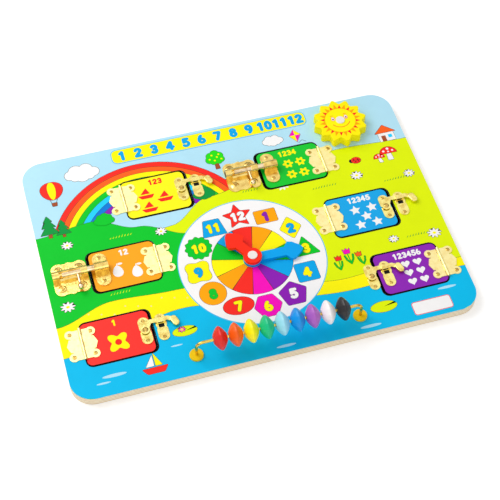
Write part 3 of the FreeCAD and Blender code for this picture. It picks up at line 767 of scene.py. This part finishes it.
# Where each motif stands, its level and its size
for x, y, level, shapes, size in (
        (-146, 123, SKY_LEVEL, [("white", CLOUD, 1)], 1.0),
        (66, 112, SKY_LEVEL, [("white", CLOUD, 1)], 0.62),
        (-182, 106, SKY_LEVEL, balloon(), 1.0),
        (92, 112, SKY_LEVEL, kite(), 0.8),
        (-194, 62, GREEN_LEVEL, fir_tree(), 0.95),
        (-180, 57, GREEN_LEVEL, fir_tree(), 0.75),
        (-136, 56, GREEN_LEVEL, [("green", BUSH, 1)], 0.8),
        (190, 90, MEADOW_LEVEL, house(), 1.0),
        (-2, 104, MEADOW_LEVEL, fruit_tree(), 0.85),
        (-26, 62, MEADOW_LEVEL, [("dark_green", BUSH, 1)], 0.85),
        (184, 62, MEADOW_LEVEL, toadstool(), 1.15),
        (172, 58, MEADOW_LEVEL, toadstool(1.0), 0.75),
        (146, 62, MEADOW_LEVEL, ladybird(), 0.75),
        (86, -58, SAND_LEVEL, tulip("red", -1.5), 0.85),
        (97, -52, SAND_LEVEL, tulip("magenta", 1.0), 0.95),
        (108, -58, SAND_LEVEL, tulip("deep_orange", 2.5), 0.8),
        (-126, -127, POND_LEVEL, sail_boat(), 1.0),
        (-88, -98, POND_LEVEL, leaf_pad(True), 0.9),
        (112, -124, POND_LEVEL, leaf_pad(False), 1.0)):
    motif(x, y, level, shapes, size)
DAISY = [("white", PETALS, 1), ("yellow", circle(0, 0, 1.7, 0.8, 20), 2)]
for x, y, size in ((-194, -40, 1.1), (-82, 26, 0.9), (58, 50, 1.1), (140, 42, 1.0), (196, 30, 0.9),
                   (-180, 34, 0.9), (194, -52, 1.1), (150, -48, 0.8)):
    motif(x, y, SAND_LEVEL, DAISY, size)
for x, y, count, color in ((88, 36, 9, "dark_green"), (166, 26, 10, "dark_green"),
                           (164, -50, 8, "dark_green"), (-136, 30, 8, "lime"),
                           (-150, -38, 7, "lime"), (14, 52, 6, "dark_green")):
    motif(x, y, SAND_LEVEL, grass(count, color))
for x, y, length in ((-166, -128, 24), (-178, -134, 14), (4, -141, 20), (92, -142, 22), (182, -119, 20),
                     (-100, -112, 12)):
    motif(x, y, POND_LEVEL, [("ripple", circle(0, 0, length / 2, 0.15, 32), 2)])
SAND_DOT_PITCH = 12.5
for k in range(9):
    motif(-176 + SAND_DOT_PITCH * k, -54 - 3.5 * (k % 3), SAND_LEVEL,
          [("sand_dot", circle(0, 0, 0.9, count=12), 2)])

# Black rims round the doors: a printed outline, shifted and widened on the free side and below, where it is
# painted shade of the gaps
RIM_SHADE_SHIFT = (0.35, -0.3)
RIM_SHADE_WIDER = (1.3, 1.4)
RIM_CORNER = WINDOW_CORNER + 0.4
for door in DOORS:
    x, y, width, depth, side = cut_out(door)
    ink("board", "black", block(x + side * RIM_SHADE_SHIFT[0], y + RIM_SHADE_SHIFT[1], width + RIM_SHADE_WIDER[0],
                                depth + RIM_SHADE_WIDER[1], RIM_CORNER), RIM_LEVEL)

# Title band with plain numerals and a bare plate near the corner, each over a rim of another colour
BAND_Y = 135.3
BAND_NUMERAL = 13.0
BAND_PITCH = 18
ink("board", "rim_blue", block(0, BAND_Y, 222, 19.6, 6.5), BAND_LEVEL)
ink("board", "yellow", block(0, BAND_Y, 220.2, 17.8, 5.8), BAND_LEVEL + 1)
for k in range(12):
    number("board", "blue", str(k + 1), -5.5 * BAND_PITCH + BAND_PITCH * k, BAND_Y, BAND_NUMERAL,
           BAND_LEVEL + 3, weight=0.3)
ink("board", "red", block(160, -BAND_Y, 41.5, 15.4, 3), BAND_LEVEL)
ink("board", "white", block(160, -BAND_Y, 40.2, 14.1, 2.4), BAND_LEVEL + 1)


# Clock print

DIAL_R = 76.6
WHEEL_R = 42.0
TILE_R = 57.6
WHEEL = ("red", "orange", "yellow", "green", "blue", "violet", "magenta", "red", "orange", "yellow",
         "green", "blue")
TILES = (
    ("12", "white", "red", softened(star(0, 0, 16.2, 7.9), 1.6)),
    ("1", "violet", "orange", block(0, 0, 23.5, 17, 1.6)),
    ("2", "blue", "yellow", softened([(0, -14.5), (12, 0), (0, 14.5), (-12, 0)], 2.2)),
    ("3", "yellow", "green", softened([(-13.6, -9), (13.6, -9), (0, 15)], 2.0)),
    ("4", "yellow", "blue", block(0, 0, 22.8, 22.8, 2.2)),
    ("5", "white", "violet", softened(polygon(0, -1, 15.4, 5), 1.5)),
    ("6", "yellow", "magenta", softened(polygon(0, 0, 14.6, 6, 0), 1.5)),
    ("7", "yellow", "red", circle(0, 0, 16.0, 0.64, 56)),
    ("8", "green", "orange", circle(0, 0, 13.8, count=56)),
    ("9", "blue", "yellow", waved(0, 0, 13.2, 2.0, 4, 45)),
    ("10", "yellow", "green", waved(0, 0, 13.5, 0.9, 12)),
    ("11", "yellow", "blue", softened([(-12.8, -10.4), (12.8, -10.4), (8.6, 10.4), (-8.6, 10.4)], 1.2)),
)
ONE_DIGIT = 12.4
TWO_DIGITS = 11.6
ink("board", "rim_blue", circle(*CLOCK, DIAL_R + 0.9, count=128), DIAL_LEVEL)
ink("board", "white", circle(*CLOCK, DIAL_R, count=128), DIAL_LEVEL + 1)
ink("board", "line", circle(*CLOCK, WHEEL_R + LINE, count=96), DIAL_LEVEL + 2)
for hour, (text, text_color, color, outline) in enumerate(TILES):
    middle = 90 - 30 * hour
    half_slice = 15 - math.degrees(LINE / WHEEL_R)
    slice_outline = sector(*CLOCK, WHEEL_R, middle - half_slice, middle + half_slice)
    ink("board", WHEEL[hour], slice_outline, DIAL_LEVEL + 3)
    ray = np.array([math.cos(math.radians(middle)), math.sin(math.radians(middle))])
    spot = CLOCK + TILE_R * ray
    ink("board", color, outline + spot, DIAL_LEVEL + 3, line=LINE)
    number("board", text_color, text, *(spot - (0, 0.6)), ONE_DIGIT if len(text) == 1 else TWO_DIGITS,
           DIAL_LEVEL + 5, weight=0.29, line=0.3)


# Doors: a numeral, as many shapes as it says, and their colour again on the sheet behind, ringed in black as
# painted shade of the gaps

def boat_shape(x, y):
    """Return a hull and a sail."""
    hull = [(x - 9, y - 1), (x + 9, y - 1), (x + 5.5, y - 5.6), (x - 5.5, y - 5.6)]
    sail = [(x - 6, y + 0.4), (x + 4.5, y + 0.4), (x + 1.0, y + 8.4)]
    return [("red", softened(hull, 1.0), DOOR_LEVEL), ("red", softened(sail, 0.8), DOOR_LEVEL)]


def pear_shape(x, y):
    """Return a fruit, wider at its foot, with a stalk and a leaf."""
    t = np.linspace(0, 2 * math.pi, 40, endpoint=False)
    body = np.stack([x + (5.2 - 1.5 * np.sin(t)) * np.cos(t), y - 1 + 7.0 * np.sin(t)], 1)
    return [("white", body, DOOR_LEVEL),
            ("white", stroke([(x, y + 5), (x + 0.6, y + 8)], 0.9), DOOR_LEVEL + 0.3),
            ("white", circle(x + 3.6, y + 7.4, 2.6, 0.5, 20), DOOR_LEVEL + 0.6)]


DOOR_SHAPES = {
    "yellow": [shape for spot in ((-10, 3), (9, -5), (-10, -15)) for shape in boat_shape(*spot)],
    "green": [shape for spot in ((-3, 3), (11, 3), (-3, -12), (11, -12)) for shape in (
        ("yellow", waved(*spot, 4.9, 1.1, 6), DOOR_LEVEL),
        ("green", circle(*spot, 1.7, count=20), DOOR_LEVEL + 1))],
    "orange": [shape for spot in ((-8, -3), (11, -8)) for shape in pear_shape(*spot)],
    "blue": [("white", softened(star(x, y, 6.4, 3.0), 0.6), DOOR_LEVEL)
             for x, y in ((-5, 4.5), (13.5, 4.5), (4.5, -5.5), (-5, -15), (13.5, -15))],
    "red": [("yellow", waved(0, -5, 9.6, 2.8, 4, 45), DOOR_LEVEL),
            ("red", circle(0, -5, 3.4, count=28), DOOR_LEVEL + 1)],
    "violet": [("white", heart(x, y, 9.4), DOOR_LEVEL) for x in (-3, 10) for y in (6, -5, -16)],
}
# Each door's number, its colour and how far it stands to the right of the door's middle
DOOR_NUMBERS = {"yellow": ("123", "red", 3), "green": ("1234", "yellow", 0), "orange": ("12", "white", 2),
                "blue": ("12345", "white", 3), "red": ("1", "yellow", 0), "violet": ("123456", "white", 2)}
DOOR_NUMERAL = 7.6
DOOR_NUMERAL_UP = 17.6
for door in DOORS:
    body = door + "_door"
    low, high = node_box(body)
    middle = (low + high)[:2] / 2
    text, color, shift = DOOR_NUMBERS[door]
    number(body, color, text, *(middle + (shift, DOOR_NUMERAL_UP)), DOOR_NUMERAL, DOOR_LEVEL, weight=0.24)
    for shape_color, outline, level in DOOR_SHAPES[door]:
        ink(body, shape_color, np.asarray(outline) + middle, level)
    size = (high - low)[:2]
    # Black on the back sheet round each door's place: painted shade where the gaps show the sheet
    ink("board", "black", block(*middle, *(size + 6.5), 7.0), 0.5, base=SHEET_TOP)
    ink("board", door, block(*middle, *(size - 3.0), 5.0), DOOR_LEVEL, base=SHEET_TOP)


# Catch plates: the tongue was punched up out of the plate, and the slot it leaves is a black patch printed
# on the plate, painted shade in place of an open hole
CATCH_PLATE_T = 0.8
CATCH_AWAY = 17.0
SLOT_SHADE_UP = 1.9
SLOT_SHADE_SIZE = (5.8, 4.4)
SLOT_SHADE_CORNER = 0.8
CATCHES = [("violet_door", "violet_catch", 0.0)]
CATCHES += [("board", door + "_hook_plate", CATCH_AWAY) for door in ("yellow", "blue", "red")]
for body, node, away in CATCHES:
    spot = node_middle(node)[:2] + (away, SLOT_SHADE_UP)
    # The black patch is painted shade of the punched slot
    ink(body, "black", block(*spot, *SLOT_SHADE_SIZE, SLOT_SHADE_CORNER), 1, FACE + CATCH_PLATE_T)


# The sun's printed face

FACE_R = 17.2
RAY_COUNT = 24
# Colour, tip radius and half width of the printed rays, which take turns
RAY_KINDS = (("orange", 23.6, 2.2), ("red", 22.4, 2.0))
for k in range(RAY_COUNT):
    angle = math.radians(360 / RAY_COUNT * k)
    ray = np.array([math.cos(angle), math.sin(angle)])
    side = np.array([-math.sin(angle), math.cos(angle)])
    color, tip, wide = RAY_KINDS[k % 2]
    corners = [SUN + ray * FACE_R - side * wide, SUN + ray * tip, SUN + ray * FACE_R + side * wide]
    ink("sun", color, np.array(corners), 1, SUN_FACE)
ink("sun", "orange", circle(*SUN, FACE_R + 0.3, count=72), 2, SUN_FACE)
ink("sun", "yellow", circle(*SUN, FACE_R - 0.3, count=72), 3, SUN_FACE)
for s in (-1, 1):
    eye = SUN + (s * 7.4, 3.4)
    ink("sun", "red", circle(*eye, 2.3, 1.3, 28), 4, SUN_FACE)
    ink("sun", "white", circle(*eye, 1.8, 1.35, 28), 5, SUN_FACE)
    ink("sun", "brown", circle(eye[0], eye[1] - 0.5, 1.0, 1.2, 20), 6, SUN_FACE)
    ink("sun", "deep_orange", stroke(arc_line(eye[0], eye[1] + 1.4, 3.4, 60, 120), 0.6), 4, SUN_FACE)
ink("sun", "deep_orange", stroke(arc_line(SUN[0], SUN[1] + 1.5, 11.2, 212, 328, 24), 0.8), 4, SUN_FACE)


def knife():
    """Return the door cut-outs as one mesh object that trims the printed fields."""
    shapes = []
    for door in DOORS:
        x, y, width, depth, side = cut_out(door)
        outline = block(x, y, width + 2 * TRIM, depth + 2 * TRIM, WINDOW_CORNER)
        shapes.append(prism(outline, FACE - 1, FACE + 1))
    return mesh_object("door_cut_outs", *gathered(shapes))


def gathered(shapes):
    """Return several point and face lists as one."""
    starts = np.cumsum([0] + [len(points) for points, faces in shapes])
    faces = [[i + int(start) for i in face]
             for start, (points, group) in zip(starts, shapes) for face in group]
    return np.concatenate([points for points, group in shapes]), faces


def mesh_object(name, points, faces):
    """Return an object whose mesh has these points, given in millimetres."""
    mesh = bpy.data.meshes.new(name)
    mesh.from_pydata((np.asarray(points) * MM).tolist(), [], faces)
    mesh.update()
    thing = bpy.data.objects.new(name, mesh)
    bpy.context.scene.collection.objects.link(thing)
    return thing


def crosses_door(points):
    """Return whether a printed shape on the face overlaps a door's cut-out."""
    if points[:, 2].max() < FACE:
        return False
    low, high = points.min(0)[:2], points.max(0)[:2]
    for door in DOORS:
        near, far = node_box(door + "_door")
        if (low < far[:2] + FREE_GAP).all() and (high > near[:2] - FREE_GAP).all():
            return True
    return False


def trimmed(shape, cutter):
    """Return a printed shape's points and faces after the door cut-outs are taken away."""
    thing = mesh_object("trimmed", *shape)
    cut = thing.modifiers.new("cut", "BOOLEAN")
    cut.operation = "DIFFERENCE"
    cut.object = cutter
    cut.solver = "EXACT"
    bpy.context.view_layer.update()
    result = thing.evaluated_get(bpy.context.evaluated_depsgraph_get()).to_mesh()
    points = np.array([vertex.co[:] for vertex in result.vertices]).reshape(-1, 3) / MM
    faces = [list(face.vertices) for face in result.polygons]
    mesh = thing.data
    bpy.data.objects.remove(thing)
    bpy.data.meshes.remove(mesh)
    return points, faces


def print_everything():
    """Make one closed piece for each body and colour."""
    cutter = knife()
    for (body, color), shapes in PRINTS.items():
        shapes = [trimmed(shape, cutter) if body == "board" and crosses_door(shape[0]) else shape
                  for shape in shapes]
        piece = mesh_object("print_" + body + "_" + color, *gathered(shapes))
        piece.data.materials.append(INKS[color])
        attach(piece, body)
    mesh = cutter.data
    bpy.data.objects.remove(cutter)
    bpy.data.meshes.remove(mesh)


print_everything()


# Beads

BEADS = {
    "red": srgb(226, 36, 24), "orange": srgb(248, 98, 14), "yellow": srgb(255, 245, 0),
    "green": srgb(0, 194, 132), "pale": srgb(160, 224, 242), "blue": srgb(0, 146, 226),
    "violet": srgb(174, 96, 190), "white": srgb(246, 242, 242), "black": srgb(40, 38, 40),
}
BEAD_SIDES = 12
BEAD_HUB = 4.2
BEAD_BORE = 1.65


def bead_surface(node):
    """Return a turned lens along X with soft facets.

    Along the profile the radius is hub + (rim - hub)(1 - |t|^p)^q. Round it, a facet's radius is
    cos h / cos a for the angle a from the facet's middle and the half angle h."""
    low, high = node_box(node)
    mid, half = (low + high) / 2, (high - low) / 2
    t = np.linspace(-1, 1, 33)
    body = BEAD_HUB + (half[2] - BEAD_HUB) * (1 - np.abs(t) ** 1.45) ** 0.95
    across = np.concatenate([[-0.95], t, [0.95], np.linspace(0.95, -0.95, 4)[1:-1]]) * half[0]
    radius = np.concatenate([[BEAD_BORE], body, [BEAD_BORE] * 3])
    around = np.linspace(0, 2 * math.pi, BEAD_SIDES * 8, endpoint=False)
    step = math.pi / BEAD_SIDES
    facet = math.cos(step) / np.cos(np.abs(around % (2 * step) - step))
    facet = facet / facet.max()
    share = np.clip((radius - BEAD_HUB) / (half[2] - BEAD_HUB), 0, 1)[:, None]
    reach = radius[:, None] * (1 - 0.9 * share * (1 - facet[None, :]))
    points = np.stack([np.broadcast_to(across[:, None], reach.shape) + mid[0],
                       mid[1] + reach * np.cos(around + step), mid[2] + reach * np.sin(around + step)], -1)
    rows, cols = reach.shape
    i, j = np.meshgrid(np.arange(rows), np.arange(cols), indexing="ij")
    down, right = (i + 1) % rows, (j + 1) % cols
    faces = np.stack([i * cols + j, i * cols + right, down * cols + right, down * cols + j], -1)
    return points.reshape(-1, 3), faces.reshape(-1, 4).tolist()


def outward(thing):
    """Turn a closed mesh's faces outwards."""
    work = bmesh.new()
    work.from_mesh(thing.data)
    bmesh.ops.recalc_face_normals(work, faces=work.faces)
    work.to_mesh(thing.data)
    work.free()


for name, color in BEADS.items():
    node = "bead_" + name
    bead = mesh_object(node + "_turned", *bead_surface(node))
    outward(bead)
    bead.data.materials.append(painted(node + "_paint", color, 0.36, 0.4))
    bead.data.shade_smooth()
    bead.data.set_sharp_from_angle(angle=math.radians(14))
    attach(bead, node)
    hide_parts(node)


# Floor, lamps and camera

FLOOR_HALF = 6.0
FLOOR_DROP = 0.0002
FLOOR_WHITE = 0.92
FLOOR_GLOW = 0.25
WORLD_LIGHT = 0.62
# Height of a glossy ray's direction, from and to, and how bright the dome is there
DOME = (0.1, 0.75, 0.2, 1.0)
CAMERA_SPOT = (-0.21903, -0.71370, 1.06337)
CAMERA_RIGHT = (0.96035973, -0.27826953, 0.01794660)
CAMERA_DOWN = (-0.21936050, -0.79357012, -0.56753432)
CAMERA_AHEAD = (0.17217894, 0.54107034, -0.82315413)
CAMERA_LENS = 88.81


def seen_directly(tree):
    """Return a mask that is 1 for camera, glossy and transmission rays."""
    path = add_node(tree, "ShaderNodeLightPath")
    mask = path.outputs["Is Camera Ray"]
    for name in ("Is Glossy Ray", "Is Transmission Ray"):
        mask = worked(tree, "MAXIMUM", mask, path.outputs[name])
    return mask


def studio_floor():
    """Lay white paper under the board; its shadows stay."""
    mesh = bpy.data.meshes.new("floor")
    corners = [(x * FLOOR_HALF, y * FLOOR_HALF, 0) for x, y in ((-1, -1), (1, -1), (1, 1), (-1, 1))]
    mesh.from_pydata(corners, [], [(0, 1, 2, 3)])
    floor = bpy.data.objects.new("floor", mesh)
    bpy.context.scene.collection.objects.link(floor)
    floor.location.z = -FLOOR_DROP
    material, tree, shader = new_material("white_paper")
    shader.inputs["Base Color"].default_value = (FLOOR_WHITE, FLOOR_WHITE, FLOOR_WHITE, 1)
    shader.inputs["Roughness"].default_value = 0.9
    shader.inputs["Specular IOR Level"].default_value = 0.1
    shader.inputs["Emission Color"].default_value = (1, 1, 1, 1)
    glow = worked(tree, "MULTIPLY", seen_directly(tree), FLOOR_GLOW)
    tree.links.new(glow, shader.inputs["Emission Strength"])
    mesh.materials.append(material)


def studio_world():
    """Light softly from all round, and show white to the camera and a pale dome to metal."""
    world = bpy.data.worlds.new("studio")
    bpy.context.scene.world = world
    world.use_nodes = True
    tree = world.node_tree
    tree.nodes.clear()
    output = add_node(tree, "ShaderNodeOutputWorld")
    around = add_node(tree, "ShaderNodeBackground", {0: (1, 1, 1, 1), 1: WORLD_LIGHT})
    seen = add_node(tree, "ShaderNodeBackground", {0: (1, 1, 1, 1)})
    height = add_node(tree, "ShaderNodeSeparateXYZ")
    tree.links.new(add_node(tree, "ShaderNodeTexCoord").outputs["Generated"], height.inputs[0])
    dome = ramped(tree, height.outputs["Z"], *DOME)
    camera_ray = add_node(tree, "ShaderNodeLightPath").outputs["Is Camera Ray"]
    tree.links.new(worked(tree, "MAXIMUM", dome, camera_ray), seen.inputs[1])
    mix = add_node(tree, "ShaderNodeMixShader")
    tree.links.new(seen_directly(tree), mix.inputs[0])
    tree.links.new(around.outputs[0], mix.inputs[1])
    tree.links.new(seen.outputs[0], mix.inputs[2])
    tree.links.new(mix.outputs[0], output.inputs[0])


def soft_lamp(name, spot, size, power):
    """Hang a square soft box that faces the board's middle."""
    lamp = bpy.data.lights.new(name, "AREA")
    lamp.size = size
    lamp.energy = power
    holder = bpy.data.objects.new(name, lamp)
    bpy.context.scene.collection.objects.link(holder)
    holder.location = spot
    holder.rotation_mode = "QUATERNION"
    holder.rotation_quaternion = (-Vector(spot)).to_track_quat("-Z", "Y")


def photo_camera():
    """Stand where the photograph was taken, worked out from the board's four corners."""
    data = bpy.data.cameras.new("camera")
    data.sensor_width = 36.0
    data.lens = CAMERA_LENS
    data.clip_start, data.clip_end = 0.05, 30.0
    view = bpy.data.objects.new("camera", data)
    bpy.context.scene.collection.objects.link(view)
    turn = Matrix((CAMERA_RIGHT, -Vector(CAMERA_DOWN), -Vector(CAMERA_AHEAD))).transposed().to_4x4()
    view.matrix_world = Matrix.Translation(CAMERA_SPOT) @ turn
    bpy.context.scene.camera = view


studio_floor()
studio_world()
soft_lamp("key", spot=(-0.8, 0.75, 1.15), size=1.1, power=14.5)
soft_lamp("fill", spot=(-0.3, -1.2, 0.7), size=0.9, power=3.0)
photo_camera()
bpy.context.scene.view_settings.view_transform = "Standard"

bpy.context.view_layer.update()
